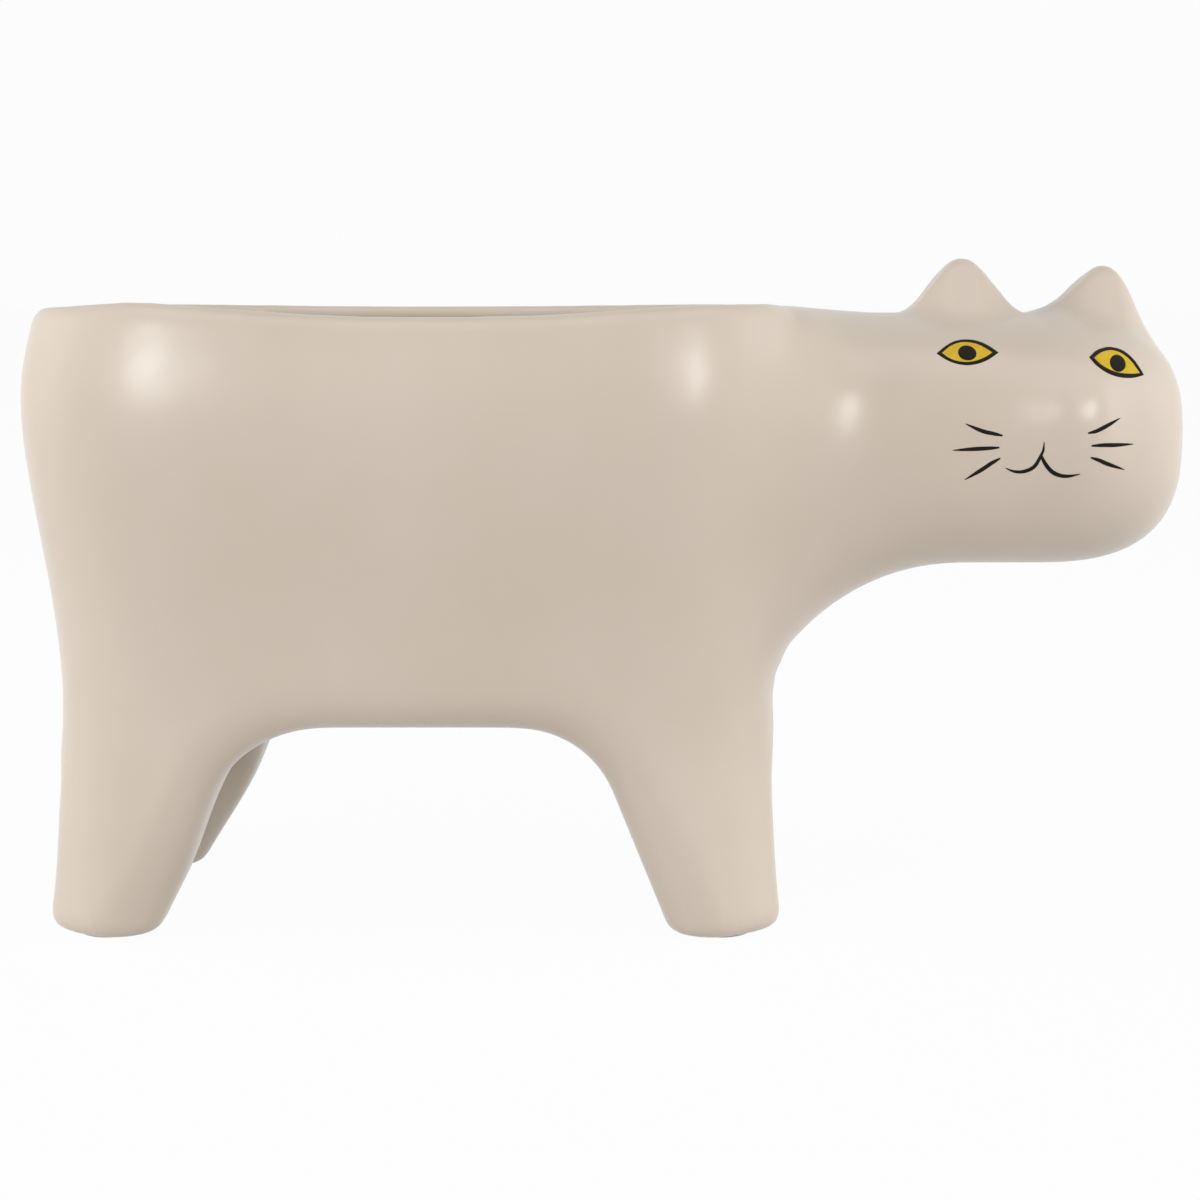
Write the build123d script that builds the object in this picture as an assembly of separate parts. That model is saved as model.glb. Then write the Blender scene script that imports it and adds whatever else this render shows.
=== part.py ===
from build123d import *
import math
import os

# Animal shaped planter: a glazed trough on four legs with a turned cat head.
# Frame: X runs from tail end to head, Y across, Z up, the floor is at zero.

# Overall sizes, mm
trough_length = 197.0
head_reach = 96.0
trough_width = 112.0
rim_height = 155.2
belly_height = 53.0
pad_thickness = 1.0

# Wall of the trough
wall = 6.5
floor_thickness = 7.0
lip_radius = 4.0
inner_lip_radius = 2.3
mouth_overrun = 2.0
bulge_drop = 24.9
waist_rise = 3.1
rear_waist_inset = 7.9
side_waist_inset = 4.5
front_waist_inset = 7.7
foot_flare_share = 0.8
foot_flare_power = 1.25
waist_power = 1.6
top_lean = 4.0
plan_power = 4.0
inner_floor_radius = 22.0

# Legs, cut out of the lower wall by two crossing arches
rear_leg_foot_length = 33.7
rear_leg_top_length = 60.5
front_leg_foot_length = 34.2
front_leg_top_length = 55.4
side_arch_radius_share = 0.4906
leg_gap_foot_share = 0.393
leg_gap_top_share = 0.286
end_arch_height_share = 0.7943
end_arch_radius_share = 0.232
leg_edge_radius_share = 0.2075
foot_edge_radius = 3.5

# Dips in the floor above the legs, left by the draining slip
dip_depth = 14.0
dip_bottom_radius = 6.0
dip_top_radius = 13.0
rear_dip_inset = 33.0
front_dip_inset = 33.0
side_dip_inset = 24.5
dip_lean_x = 3.0
dip_lean_y = 1.5
dip_overrun = 7.0

# Neck and head: places along the head's length are shares of it
neck_reach = 12.0
collar_depth = 12.0
chest_depth = 2.0
neck_width = 62.0
collar_width_share = 0.6857
head_width = 80.0
head_height = 64.6
chest_drop = 19.5
chest_end_share = 0.369
cheek_share = 0.3869
head_wide_share = 0.5476
chest_power = 2.34
crown_drop = 0.5
head_side_power = 2.8
head_plan_power = 3.0
head_section_power = 2.7
head_wall = 6.0
nose_share = 0.6012
nose_drop_share = 0.3514
nose_reach = 7.0
nose_spread_x = 11.0
nose_spread_z = 17.0
vent_radius = 3.0
vent_drop_share = 0.3653

# Ears: place and width as shares of the head's length, rise over the crown as a share of its height
ear_root_drop_share = 0.1331
ear_depth_share = 0.375
ear_back_share = 0.1
ear_tip_half_width = 2.5
ear_tip_half_depth = 2.6
ear_tip_radius = 3.4
ear_join_radius_share = 0.15
right_ear_root_share = 0.3417
right_ear_width_share = 0.25
right_ear_tip_share = 0.3357
right_ear_rise_share = 0.2012
left_ear_root_share = 0.7262
left_ear_width_share = 0.1929
left_ear_tip_share = 0.7679
left_ear_rise_share = 0.1734

# Painted face: enamel laid on the glaze. Places in X and Z are shares of the head's length and height,
# from its widest place and middle height. Left and right are the animal's own.
enamel_thickness = 0.3
enamel_clearance = 0.1
enamel_reach = 30.0
eye_line = 0.75
right_eye_corner_shares = ((-0.3250, 0.3467), (-0.1512, 0.3514))
right_eye_top_shares = (-0.2381, 0.3978)
right_eye_bottom_shares = (-0.2429, 0.3050)
right_pupil_shares = (-0.2393, 0.3483)
right_pupil_radius_share = 0.031
left_eye_corner_shares = ((0.1095, 0.3359), (0.2738, 0.2693))
left_eye_top_shares = (0.1881, 0.3669)
left_eye_bottom_shares = (0.1845, 0.2678)
left_pupil_shares = (0.1940, 0.3096)
left_pupil_radius_share = 0.0325
whisker_root_width = 0.8
whisker_tip_width = 0.15
whisker_end_shares = {
    "right_upper_whisker": ((-0.1452, 0.0449), (-0.2512, 0.0882)),
    "right_middle_whisker": ((-0.1536, 0.0000), (-0.2857, -0.0124)),
    "right_lower_whisker": ((-0.1500, -0.0402), (-0.2500, -0.1238)),
    "left_upper_whisker": ((0.0929, 0.0588), (0.1917, 0.1115)),
    "left_middle_whisker": ((0.1048, 0.0108), (0.2381, 0.0108)),
    "left_lower_whisker": ((0.1048, -0.0341), (0.2131, -0.0851)),
}
mouth_line = 0.8
mouth_top_shares = (-0.0298, 0.0248)
mouth_join_shares = (-0.0369, -0.0279)
mouth_right_curve_shares = ((-0.0667, -0.0820), (-0.1333, -0.0774))
mouth_left_curve_shares = ((0.0060, -0.0944), (0.0774, -0.0975))

# Drain, stopper and foot pads
drain_radius = 8.0
plug_clearance = 0.08
plug_taper = 0.5
plug_stand = 1.5
plug_flange_radius = 12.5
plug_flange_thickness = 2.5
plug_flange_edge = 0.8
plug_tab_width = 9.0
plug_tab_drop = 3.0
plug_tab_thickness = 3.0
plug_tab_edge = 0.9
plug_tab_sink = 0.8
pad_radius = 8.0
pad_edge = 0.4

# Sampling of the lofted forms
outline_points = 24
body_sections = 13
bowl_sections = 4
collar_sections = 4
cheek_sections = 7
dome_sections = 8
dome_last_angle = 86.0
bowl_last_angle = 72.0
smooth_angle = 8.0

overall_length = trough_length + head_reach
rear_x = -overall_length / 2
front_x = overall_length / 2
trough_centre_x = rear_x + trough_length / 2
trough_front_x = rear_x + trough_length
trough_half_width = trough_width / 2
foot_height = pad_thickness
floor_height = belly_height + floor_thickness
bulge_height = rim_height - bulge_drop
waist_height = belly_height + waist_rise
rear_leg_inner_foot = rear_x + rear_leg_foot_length
rear_leg_inner_top = rear_x + rear_leg_top_length
front_leg_inner_foot = trough_front_x - front_leg_foot_length
front_leg_inner_top = trough_front_x - front_leg_top_length
leg_half_gap_foot = trough_half_width * leg_gap_foot_share
leg_half_gap_top = trough_half_width * leg_gap_top_share
side_arch_radius = belly_height * side_arch_radius_share
end_arch_height = belly_height * end_arch_height_share
end_arch_radius = trough_half_width * end_arch_radius_share
leg_edge_radius = min(trough_half_width, belly_height) * leg_edge_radius_share
collar_x = trough_front_x - collar_depth
chest_x = trough_front_x - chest_depth
neck_x = trough_front_x + neck_reach
head_length = front_x - neck_x
chest_end_x = neck_x + head_length * chest_end_share
cheek_x = neck_x + head_length * cheek_share
head_wide_x = neck_x + head_length * head_wide_share
nose_x = neck_x + head_length * nose_share
neck_half_width = neck_width / 2
collar_half_width = trough_half_width * collar_width_share
head_half_width = head_width / 2
crown_height = rim_height - crown_drop
head_low = crown_height - head_height
head_mid_height = (head_low + crown_height) / 2
head_half_height = head_height / 2
nose_height = crown_height - head_height * nose_drop_share
vent_height = crown_height - head_height * vent_drop_share
ear_root_height = crown_height - head_height * ear_root_drop_share
ear_y = -head_half_width * ear_back_share
ear_root_half_depth = head_half_width * ear_depth_share
ear_join_radius = head_half_width * ear_join_radius_share


def power_point(power, turn):
    """A point of the unit rounded square at an angle."""
    c = math.cos(turn)
    s = math.sin(turn)
    x = math.copysign(abs(c) ** (2 / power), c)
    y = math.copysign(abs(s) ** (2 / power), s)
    return x, y


def outline_turns(first_turn):
    return [first_turn + 2 * math.pi * i / outline_points for i in range(outline_points)]


def shared_knots(power, first_turn, half_a, half_b):
    """Knots by chord length, the same for every section of a form."""
    turns = outline_turns(first_turn)
    turns.append(turns[0])
    places = []
    for turn in turns:
        x, y = power_point(power, turn)
        places.append(Vector(half_a * x, half_b * y))
    sums = [0.0]
    for a, b in zip(places, places[1:]):
        sums.append(sums[-1] + (b - a).length)
    return [s / sums[-1] for s in sums]


plan_turn = math.pi / 4
plan_knots = shared_knots(plan_power, plan_turn, trough_length / 2, trough_half_width)
head_turn = 0.0
head_knots = shared_knots(head_section_power, head_turn, head_half_width, head_half_height)


def waist(z):
    """How far the wall has drawn in at a height: 0 at the bulge, 1 at the waist."""
    if z >= bulge_height:
        return 0.0
    if z >= waist_height:
        return math.cos(math.pi / 2 * (z - waist_height) / (bulge_height - waist_height)) ** waist_power
    drop = (waist_height - z) / (waist_height - foot_height)
    return 1 - foot_flare_share * drop ** foot_flare_power


def lean(z):
    if z <= bulge_height:
        return 0.0
    return top_lean * ((z - bulge_height) / (rim_height - bulge_height)) ** 2


def plan_wire(z, inset):
    """Outline of the trough at a height, drawn in all round by an inset."""
    drawn = waist(z)
    side = lean(z) + inset
    rear = rear_x + rear_waist_inset * drawn + side
    front = trough_front_x - front_waist_inset * drawn - side
    half_width = trough_half_width - side_waist_inset * drawn - side
    middle = (rear + front) / 2
    half_length = (front - rear) / 2
    places = []
    for turn in outline_turns(plan_turn):
        x, y = power_point(plan_power, turn)
        places.append((middle + half_length * x, half_width * y, z))
    return Wire([Edge.make_spline(places, periodic=True, parameters=plan_knots)])


def trough_outside():
    """The whole outer form, from the feet to the rim, still solid."""
    wires = []
    for i in range(body_sections):
        wires.append(plan_wire(foot_height + (rim_height - foot_height) * i / (body_sections - 1), 0))
    return Solid.make_loft(wires)


def trough_inside():
    """The planting space, with a rounded floor."""
    bowl_turn = math.radians(bowl_last_angle)
    bowl_top = floor_height + inner_floor_radius * math.sin(bowl_turn)
    wires = []
    for i in range(bowl_sections, -1, -1):
        turn = bowl_turn * i / bowl_sections
        inset = wall + inner_floor_radius * (1 - math.cos(turn))
        wires.append(plan_wire(bowl_top - inner_floor_radius * math.sin(turn), inset))
    wall_rise = rim_height + mouth_overrun - bowl_top
    for i in range(1, body_sections):
        wires.append(plan_wire(bowl_top + wall_rise * i / (body_sections - 1), wall))
    return Solid.make_loft(wires)


def nose(x, z):
    """How far the nose stands out of the near cheek."""
    across = (x - nose_x) / nose_spread_x
    along = (z - nose_height) / nose_spread_z
    return nose_reach * math.exp(-across ** 2 - along ** 2)


def head_wire(x, dome, inset):
    """Section of the neck and head at a place along X; dome is the share left by the front dome."""
    if x < neck_x:
        flare = ((neck_x - x) / (neck_x - collar_x)) ** 2
        half_width = neck_half_width + (collar_half_width - neck_half_width) * flare
    else:
        share = min(1.0, (x - neck_x) / (cheek_x - neck_x))
        swell = (1 - math.cos(math.pi * share)) / 2
        half_width = neck_half_width + (head_half_width - neck_half_width) * swell
    low = head_low
    if x < chest_end_x:
        low -= chest_drop * ((chest_end_x - x) / (chest_end_x - chest_x)) ** chest_power
    half_width = (half_width - inset) * dome[0]
    half_height = ((crown_height - low) / 2 - inset) * dome[1]
    middle = (crown_height + low) / 2
    places = []
    for turn in outline_turns(head_turn):
        u, v = power_point(head_section_power, turn)
        z = middle + half_height * v
        y = half_width * u
        if inset == 0 and u < 0:
            y += u * nose(x, z)
        places.append((x, y, z))
    return Wire([Edge.make_spline(places, periodic=True, parameters=head_knots)])


def head_form(inset):
    """Neck and head as one smooth form, or its hollow when drawn in by an inset."""
    wires = []
    for i in range(collar_sections):
        wires.append(head_wire(collar_x + (neck_x - collar_x) * i / collar_sections, (1, 1), inset))
    for i in range(cheek_sections):
        wires.append(head_wire(neck_x + (head_wide_x - neck_x) * i / cheek_sections, (1, 1), inset))
    for i in range(dome_sections + 1):
        reach = math.sin(math.radians(dome_last_angle) * i / dome_sections) ** (2 / head_side_power)
        side = (1 - reach ** head_side_power) ** (1 / head_side_power)
        plan = (1 - reach ** head_plan_power) ** (1 / head_plan_power)
        wires.append(head_wire(head_wide_x + (front_x - inset - head_wide_x) * reach, (plan, side), inset))
    return Solid.make_loft(wires)


def ear(root_share, width_share, tip_share, rise_share):
    """One ear: a cone with a rounded tip, by its places along the head and its rise over the crown."""
    root_x = neck_x + head_length * root_share
    tip_x = neck_x + head_length * tip_share
    root = Plane((root_x, ear_y, ear_root_height)) * Ellipse(head_length * width_share, ear_root_half_depth)
    tip_height = crown_height + head_height * rise_share
    tip = Plane((tip_x, ear_y, tip_height)) * Ellipse(ear_tip_half_width, ear_tip_half_depth)
    cone = loft([root, tip])
    return cone.fillet(ear_tip_radius, cone.faces().sort_by(Axis.Z)[-1].edges())


def arch(plane, foot_a, foot_b, top_b, top_a, height, radius, reach):
    """A tool for one arch: a tapered opening with rounded upper corners."""
    corners = Polygon((foot_a, 0), (foot_b, 0), (top_b, height), (top_a, height), align=None)
    rounded = fillet(corners.vertices().group_by(Axis.Y)[-1], radius)
    return extrude(plane * rounded, reach, both=True)


def sharp_edges(solid):
    """Edges where two faces meet at an angle."""
    owners = {}
    for face in solid.faces():
        for edge in face.edges():
            owners.setdefault(hash(edge), []).append((edge, face))
    found = []
    for pairs in owners.values():
        if len(pairs) != 2:
            continue
        middle = pairs[0][0].position_at(0.5)
        first = pairs[0][1].normal_at(middle)
        second = pairs[1][1].normal_at(middle)
        if first.get_angle(second) > smooth_angle:
            found.append(pairs[0][0])
    return found


def arch_edges(solid, place):
    """Edges of the arches: along the sides, at the two ends, or on the inner sides of the legs."""
    found = []
    for edge in sharp_edges(solid):
        box = edge.bounding_box()
        if box.max.Z < foot_height + foot_edge_radius or box.min.Z > belly_height + floor_thickness / 2:
            continue
        middle = edge.position_at(0.5)
        if abs(middle.Y) > leg_half_gap_foot + leg_edge_radius:
            here = "side"
        elif middle.X < rear_leg_inner_foot or middle.X > front_leg_inner_foot:
            here = "end"
        else:
            here = "inner"
        if here == place:
            found.append(edge)
    return found


def leg_dip(side, foot_x, lean_x):
    """The dip in the trough's floor above one leg."""
    foot_y = side * (trough_half_width - side_dip_inset)
    top_y = foot_y - side * dip_lean_y
    low = Plane((foot_x, foot_y, floor_height - dip_depth)) * Circle(dip_bottom_radius)
    high = Plane((foot_x + lean_x, top_y, floor_height + dip_overrun)) * Circle(dip_top_radius)
    return loft([low, high])


def on_face(place):
    """A drawn place of the face in X and Z, fitted to the head."""
    x, z = place
    return head_wide_x + x * head_length, head_mid_height + z * head_height


def almond(corners, top, bottom):
    first, second = (on_face(c) for c in corners)
    upper = ThreePointArc(first, on_face(top), second)
    lower = ThreePointArc(second, on_face(bottom), first)
    return make_face([upper, lower])


def whisker(root, tip):
    """A stroke that tapers from its root to its tip."""
    start = Vector(*on_face(root))
    end = Vector(*on_face(tip))
    along = end - start
    across = Vector(-along.Y, along.X).normalized()
    places = []
    for place, width in ((start, whisker_root_width), (end, whisker_tip_width)):
        places.append(place + across * (width / 2))
        places.append(place - across * (width / 2))
    return Polygon(places[0], places[1], places[3], places[2], align=None)


def block(mark):
    """The outline of a mark, carried along Y through the near cheek."""
    return extrude(Plane.XZ * mark, head_half_width + enamel_reach)


def enamel(mark):
    """A painted mark on the near cheek, one coat thick."""
    outer = Pos(0, -enamel_clearance - enamel_thickness, 0) * head_skin
    return (block(mark) & outer) - Pos(0, -enamel_clearance, 0) * head_skin


# Trough with its legs
outside = trough_outside()
inside = trough_inside()
side_arch = arch(Plane.XZ, rear_leg_inner_foot, front_leg_inner_foot, front_leg_inner_top, rear_leg_inner_top,
                 belly_height, side_arch_radius, trough_width)
end_arch = arch(Plane.YZ, -leg_half_gap_foot, leg_half_gap_foot, leg_half_gap_top, -leg_half_gap_top,
                end_arch_height, end_arch_radius, overall_length)
body = (outside - inside).solid()
body = body.fillet(lip_radius, body.faces().sort_by(Axis.Z)[-1].outer_wire().edges())
body = body.fillet(inner_lip_radius, body.faces().sort_by(Axis.Z)[-1].inner_wires()[0].edges())
body = (body - side_arch - end_arch).solid()
for place in ("side", "end", "inner"):
    body = body.fillet(leg_edge_radius, arch_edges(body, place))
body = body.fillet(foot_edge_radius, body.faces().group_by(Axis.Z)[0].edges())
feet = body.faces().group_by(Axis.Z)[0]
for side in (-1, 1):
    body -= leg_dip(side, rear_x + rear_dip_inset, dip_lean_x)
    body -= leg_dip(side, trough_front_x - front_dip_inset, -dip_lean_x)
drain_x = (rear_leg_inner_top + front_leg_inner_top) / 2
body -= Pos(drain_x, 0, belly_height) * Cylinder(drain_radius, 2 * (floor_thickness + plug_stand))
body -= Pos(trough_front_x, 0, vent_height) * Rot(0, 90, 0) * Cylinder(vent_radius, 4 * wall)
nodes = {"planter_body": body.solid()}

# Head with neck and ears, luted to the front wall
head_skin = head_form(0)
head_skin += ear(right_ear_root_share, right_ear_width_share, right_ear_tip_share, right_ear_rise_share)
head_skin += ear(left_ear_root_share, left_ear_width_share, left_ear_tip_share, left_ear_rise_share)
head_skin = head_skin.solid()
ear_edges = [e for e in sharp_edges(head_skin) if e.bounding_box().min.Z > head_mid_height]
head_skin = head_skin.fillet(ear_join_radius, ear_edges)
nodes["head"] = (head_skin - head_form(head_wall) - outside).solid()

# Painted face
eyes = (
    ("right", right_eye_corner_shares, right_eye_top_shares, right_eye_bottom_shares),
    ("left", left_eye_corner_shares, left_eye_top_shares, left_eye_bottom_shares),
)
pupils = {
    "right": (right_pupil_shares, right_pupil_radius_share),
    "left": (left_pupil_shares, left_pupil_radius_share),
}
for side, corners, top, bottom in eyes:
    whole = almond(corners, top, bottom)
    open_part = offset(whole, -eye_line, kind=Kind.INTERSECTION)
    pupil_place, pupil_radius_share = pupils[side]
    pupil = (Pos(*on_face(pupil_place)) * Circle(head_height * pupil_radius_share)) & open_part
    coat = enamel(whole)
    nodes[side + "_eye_outline"] = coat - block(open_part)
    nodes[side + "_eye_iris"] = (coat & block(open_part)) - block(pupil)
    nodes[side + "_eye_pupil"] = coat & block(pupil)
for name, ends in whisker_end_shares.items():
    nodes[name] = enamel(whisker(*ends))
mouth = trace(Line(on_face(mouth_top_shares), on_face(mouth_join_shares)), mouth_line)
for curve in (mouth_right_curve_shares, mouth_left_curve_shares):
    mouth += trace(ThreePointArc(on_face(mouth_join_shares), *(on_face(p) for p in curve)), mouth_line)
nodes["mouth"] = enamel(mouth)

# Drain stopper, pushed up from below
shank_top = floor_height + plug_stand
shank_radius = drain_radius - plug_clearance
flange_low = belly_height - plug_flange_thickness
profile = Polygon(
    (0, flange_low),
    (plug_flange_radius, flange_low),
    (plug_flange_radius, belly_height),
    (shank_radius, belly_height),
    (shank_radius - plug_taper, shank_top),
    (0, shank_top),
    align=None,
)
plug = revolve(Plane.XZ * profile, Axis.Z)
plug = plug.fillet(plug_flange_edge, plug.edges().group_by(Axis.Z)[0])
hung = (Align.CENTER, Align.CENTER, Align.MAX)
tab = Box(plug_tab_width, plug_tab_thickness, plug_tab_drop + plug_tab_sink, align=hung)
tab = fillet(tab.edges(), plug_tab_edge)
plug += Pos(0, 0, flange_low + plug_tab_sink) * tab
nodes["drain_plug"] = (Pos(drain_x, 0, 0) * plug).solid()

# Foot pads
standing = (Align.CENTER, Align.CENTER, Align.MIN)
for foot in feet:
    centre = foot.center()
    name = ("front" if centre.X > trough_centre_x else "rear") + ("_left" if centre.Y > 0 else "_right")
    disc = Cylinder(pad_radius, pad_thickness, align=standing)
    pad = Pos(centre.X, centre.Y, 0) * disc
    nodes[name + "_foot_pad"] = fillet(pad.edges().group_by(Axis.Z)[0], pad_edge).solid()

os.makedirs("parts", exist_ok=True)
for name, shape in nodes.items():
    shape.label = name
    export_step(shape, "parts/" + name + ".step")
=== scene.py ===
import math

import bmesh
import bpy
import numpy as np
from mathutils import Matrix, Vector
from mathutils.bvhtree import BVHTree
from mathutils.kdtree import KDTree


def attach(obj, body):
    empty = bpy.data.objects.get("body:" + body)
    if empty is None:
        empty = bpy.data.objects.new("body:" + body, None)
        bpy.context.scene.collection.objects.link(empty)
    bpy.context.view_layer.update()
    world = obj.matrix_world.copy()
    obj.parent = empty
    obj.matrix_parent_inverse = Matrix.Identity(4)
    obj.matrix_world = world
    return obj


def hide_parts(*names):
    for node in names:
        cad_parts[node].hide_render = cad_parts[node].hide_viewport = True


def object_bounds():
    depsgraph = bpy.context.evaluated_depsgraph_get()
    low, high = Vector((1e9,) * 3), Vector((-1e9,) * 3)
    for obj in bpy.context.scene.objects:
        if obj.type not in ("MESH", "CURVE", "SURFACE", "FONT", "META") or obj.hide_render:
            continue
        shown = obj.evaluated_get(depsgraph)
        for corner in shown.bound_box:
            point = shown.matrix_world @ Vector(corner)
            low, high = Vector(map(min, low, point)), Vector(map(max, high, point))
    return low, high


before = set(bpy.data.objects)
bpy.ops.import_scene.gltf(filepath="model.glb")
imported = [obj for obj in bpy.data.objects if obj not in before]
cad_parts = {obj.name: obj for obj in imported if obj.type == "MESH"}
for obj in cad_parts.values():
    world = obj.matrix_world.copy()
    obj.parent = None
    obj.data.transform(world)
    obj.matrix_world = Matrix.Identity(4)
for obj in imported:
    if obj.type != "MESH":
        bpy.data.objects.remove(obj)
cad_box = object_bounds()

scene = bpy.context.scene
scene.view_settings.view_transform = "Standard"

# Lengths are in m where no comment says otherwise. Left and right are the animal's own.

# Camera at the photograph's viewing angle
FRAME_PX = 1200.0
FOCAL_PX = 2470.0
HORIZON_RISE_PX = 359.0
SENSOR_MM = 36.0
CAMERA_PLACE = (-0.0015, -0.640, 0.1721)
CAMERA_NEAR = 0.01
CAMERA_FAR = 50
PITCH_DOWN = math.atan(HORIZON_RISE_PX / FOCAL_PX)

# Skin of glaze over the two castings
VOXEL = 0.0013
RELAX_ROUNDS = 40
RELAX_IN = 0.5
RELAX_OUT = -0.52
SETTLE_ROUNDS = 14
SEEN_OFF = 0.0006
EASE_STEEPNESS = 1.6

# Form of the trough and the head
RIM_HEIGHT = 0.1552
BULGE_HEIGHT = 0.1303
WAIST_HEIGHT = 0.0561
WAIST_POWER = 1.6
FRONT_WAIST_INSET = 0.0077
SIDE_WAIST_INSET = 0.0045
TOP_LEAN = 0.004
TROUGH_MIDDLE = -0.048
TROUGH_HALF_LENGTH = 0.0985
HEAD_LOW = 0.0901
CROWN_HEIGHT = 0.1547
CHEST_X = 0.0485
CHEST_END_X = 0.0935
CHEST_DROP = 0.0195
CHEST_POWER = 2.34
HEAD_WIDE_X = 0.1085
HEAD_DOME = 0.038
HEAD_DOME_END = 0.999
HEAD_MIDDLE = 0.1224
HEAD_HALF_HEIGHT = 0.0323
HEAD_HALF_WIDTH = 0.040
NECK_X = 0.0625
NECK_HALF_WIDTH = 0.031
CHEEK_X = 0.095
SECTION_POWER = 2.7
SIDE_POWER = 2.8
PLAN_POWER = 3.0

# Soft run of the neck into the trough: X at the bulge's height, half width, upper and lower section power
NECK_SECTIONS = (
    (0.038, 0.0444, 8.0, 4.5),
    (0.040, 0.0438, 7.5, 4.3),
    (0.044, 0.0424, 6.2, 3.9),
    (0.048, 0.0407, 5.1, 3.55),
    (0.052, 0.0390, 4.2, 3.25),
    (0.056, 0.0375, 3.5, 3.0),
    (0.060, 0.0364, 3.0, 2.8),
    (0.063, 0.0360, 2.8, 2.74),
    (0.066, 0.0360, 2.7, 2.7),
    (0.070, 0.0365, 2.7, 2.7),
    (0.078, 0.0378, 2.7, 2.7),
    (0.086, 0.0391, 2.7, 2.7),
    (0.092, 0.0399, 2.7, 2.7),
    (0.098, 0.0400, 2.7, 2.7),
)
NECK_CORE = 0.4
SEAM_SHIFT_END = 0.066
SEAM_FOUND_X = (0.02, 0.07)
SEAM_EASED_X = (-0.01, 0.10)
SEAM_NEAR = 0.0022
SEAM_REACH = 0.026
SEAM_EVEN_ROUNDS = 40
SEAM_ROUNDS = 260
FOLD_MIDDLE = (0.046, 0.040, 0.112)
FOLD_SPREAD = (0.034, 0.030, 0.056)
FOLD_ROUNDS = 140
FOLD_TOP = (0.1505, 0.1565)
STEP_MIDDLE = (0.050, 0.0, 0.1560)
STEP_SPREAD = (0.014, 0.060, 0.007)
STEP_ROUNDS = 25

# Ears: each runs down into the forehead, and its tip is rounded
EAR_Y = -0.004
EAR_RIDGE = 0.0025
EAR_X = (0.066, 0.141)
EAR_LOW = 0.138
EAR_FALL = 0.7
EAR_FOOT_SHARE = 0.8
EAR_UPWARD = 0.02
EAR_BIN = 0.001
EAR_BIN_HALF = 0.0012
EAR_BIN_MARGIN = 0.002
EAR_LEAST_RUN = 0.001
EAR_MIDDLE = (0.1045, -0.006, 0.152)
EAR_SPREAD = (0.048, 0.042, 0.024)
EAR_EVEN_ROUNDS = 10
EAR_STEEPNESS = 2
FLANK_PLACE = (0.1345, -0.004, 0.1475)
FLANK_REACH = 0.013
FLANK_ROUNDS = 110
TIPS = ((0.0907, -0.004, 0.1677), (0.1270, -0.004, 0.1659))
TIP_REACH = 0.0085
TIP_ROUNDS = 20

# Small lifts and drops, each an X with its amount there
CROWN_DROPS = ((0.048, 0.0), (0.052, 0.0002), (0.069, 0.0009), (0.118, 0.0009), (0.130, 0.0))
CROWN_FROM = (0.142, 0.153)
CROWN_TO = (0.154, 0.166)
LEFT_EAR_LIFTS = (
    (0.109, 0.0), (0.1103, 0.0006), (0.1118, 0.0012), (0.1144, 0.0019), (0.1159, 0.0018),
    (0.1175, 0.0015), (0.119, 0.0013), (0.121, 0.0005), (0.123, 0.0),
)
LEFT_EAR_FROM = (0.146, 0.153)
LEFT_EAR_HALF_DEPTH = 0.030
RIM_LIFTS = (
    (-0.146, 0.0), (-0.132, 0.0013), (-0.116, 0.0028), (-0.109, 0.0029), (-0.092, 0.0019), (-0.073, 0.0007),
    (-0.058, 0.0001), (-0.036, 0.0), (-0.014, 0.0004), (-0.002, 0.0010), (0.010, 0.0017), (0.022, 0.0022),
    (0.033, 0.0021), (0.039, 0.0019), (0.046, 0.0016), (0.052, 0.0013), (0.060, 0.0006), (0.068, 0.0),
)
RIM_SAG = 0.0010
RIM_SAG_FROM = 0.115
FAR_RIM_SHARE = 0.05
RIM_SIDE_WIDTH = 0.05

# Nose, belly and hind legs. A leg's bend has its side, its middle and spread in X and Z, and a shift in X.
NOSE_MIDDLE = (0.106, -0.043, 0.130)
NOSE_SPREAD = (0.016, 0.016, 0.018)
NOSE_ROUNDS = 120
NOSE_RIDGE = 0.0003
NOSE_RIDGE_PLACE = (0.1114, 0.133)
NOSE_RIDGE_SPREAD = (0.0022, 0.012)
NOSE_RIDGE_BEFORE_Y = -0.03
BELLY_MIDDLE = (-0.048, 0.050, 0.056)
BELLY_SPREAD = (0.080, 0.024, 0.024)
BELLY_ROUNDS = 30
LEG_FADE = 0.02
LEG_BENDS = (
    (-1, (-0.092, 0.037), (0.022, 0.032), -0.0026),
    (1, (-0.100, 0.024), (0.022, 0.034), 0.0024),
)

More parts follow.
